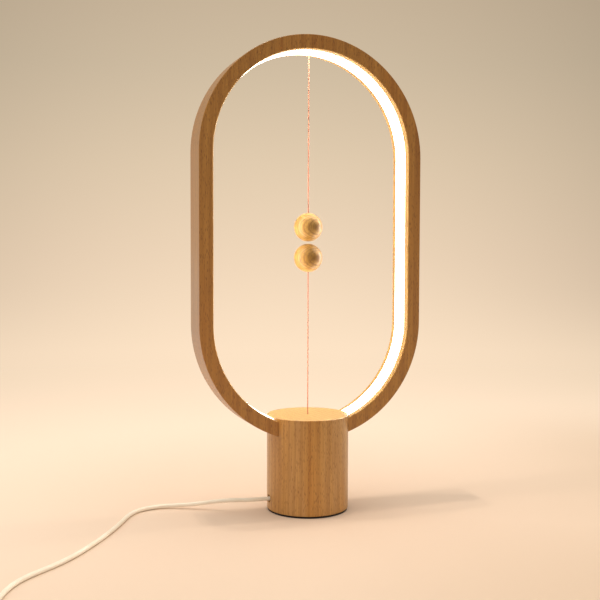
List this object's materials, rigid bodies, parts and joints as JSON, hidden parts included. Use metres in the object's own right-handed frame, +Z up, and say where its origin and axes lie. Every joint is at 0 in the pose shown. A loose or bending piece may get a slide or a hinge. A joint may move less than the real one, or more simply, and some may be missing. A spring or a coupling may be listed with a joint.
{
  "type": "magnetic balance lamp",
  "caption": "Table lamp: lit oval wooden frame on a round base, with two magnetic balls on strings that work a pull switch.",
  "frame": {"origin": "centre of the foot, on the table", "axes": "+Z up, the oval frame in the XZ plane, the lead leaves on -X"},
  "size_m": [0.4217, 0.2353, 0.401],
  "materials": {
    "frame_wood": "satin oiled beech, upright grain",
    "base_wood": "satin oiled beech, upright grain",
    "ball_wood": "satin pale wood",
    "opal": "translucent opal, lit",
    "flex": "matt white flexible board",
    "led": "clear yellow lens, lit",
    "black_rubber": "matt black",
    "black_plastic": "fine matt moulding",
    "white_plastic": "fine satin moulding",
    "string": "twisted reddish thread",
    "lead_jacket": "soft off-white jacket",
    "wire_jacket": "glossy thin jacket",
    "magnet": "nickel plated",
    "steel": "zinc plated",
    "ballast": "turned steel, oiled",
    "brass": "bright",
    "board": "green solder mask",
    "board_part": "black moulding"
  },
  "bodies": {
    "lamp": {"ring_frame": "frame_wood", "diffuser_strip": "opal", "led_strip": "flex", "led_chips": "led", "base_body": "base_wood", "ring_screws": "steel", "foot_pad": "black_rubber", "bottom_cover": "black_plastic", "cover_screws": "steel", "ballast_weight": "ballast", "ballast_screws": "steel", "switch_housing": "white_plastic", "switch_screws": "steel", "guide_bush": "brass", "return_spring": "steel", "fixed_contacts": "brass", "circuit_board": "board", "board_parts": "board_part", "lead_connector": "white_plastic", "board_spacers": "brass", "board_screws": "steel", "led_wires": "wire_jacket", "lead_wires": "wire_jacket", "cable_grommet": "black_rubber", "cord_clamp": "black_plastic", "clamp_screws": "steel", "inner_lead": "lead_jacket", "power_cord": "lead_jacket", "cord_coil": "lead_jacket", "cord_tail": "lead_jacket", "plug_body": "white_plastic", "plug_shell": "steel", "plug_insert": "white_plastic", "plug_contacts": "brass"},
    "upper_knot": {"upper_knot": "string"},
    "upper_ball": {"upper_ball": "ball_wood", "upper_magnet": "magnet", "upper_plug": "ball_wood", "upper_string": "string"},
    "pull_switch": {"plunger": "white_plastic", "contact_disc": "brass", "disc_clip": "steel", "plunger_string": "string"},
    "lower_ball": {"lower_ball": "ball_wood", "lower_magnet": "magnet", "lower_plug": "ball_wood", "lower_string": "string"}
  },
  "joints": [
    {"name": "upper_swing", "type": "hinge", "parent": "lamp", "child": "upper_knot", "pos_m": [0, 0, 0.39205], "axis": [0, 1, 0], "range_deg": [-28, 28]},
    {"name": "upper_tilt", "type": "hinge", "parent": "upper_knot", "child": "upper_ball", "pos_m": [0, 0, 0.39205], "axis": [1, 0, 0], "range_deg": [-20, 20]},
    {"name": "switch_pull", "type": "slide", "parent": "lamp", "child": "pull_switch", "axis": [0, 0, 1], "range_m": [-0.003, 0], "stiffness_N_per_m": 60, "springref_m": -0.006, "deforming": ["return_spring"]},
    {"name": "lower_ball_drop", "type": "slide", "parent": "pull_switch", "child": "lower_ball", "axis": [0, 0, 1], "range_m": [-0.1187, 0], "deforming": ["lower_string"]}
  ]
}
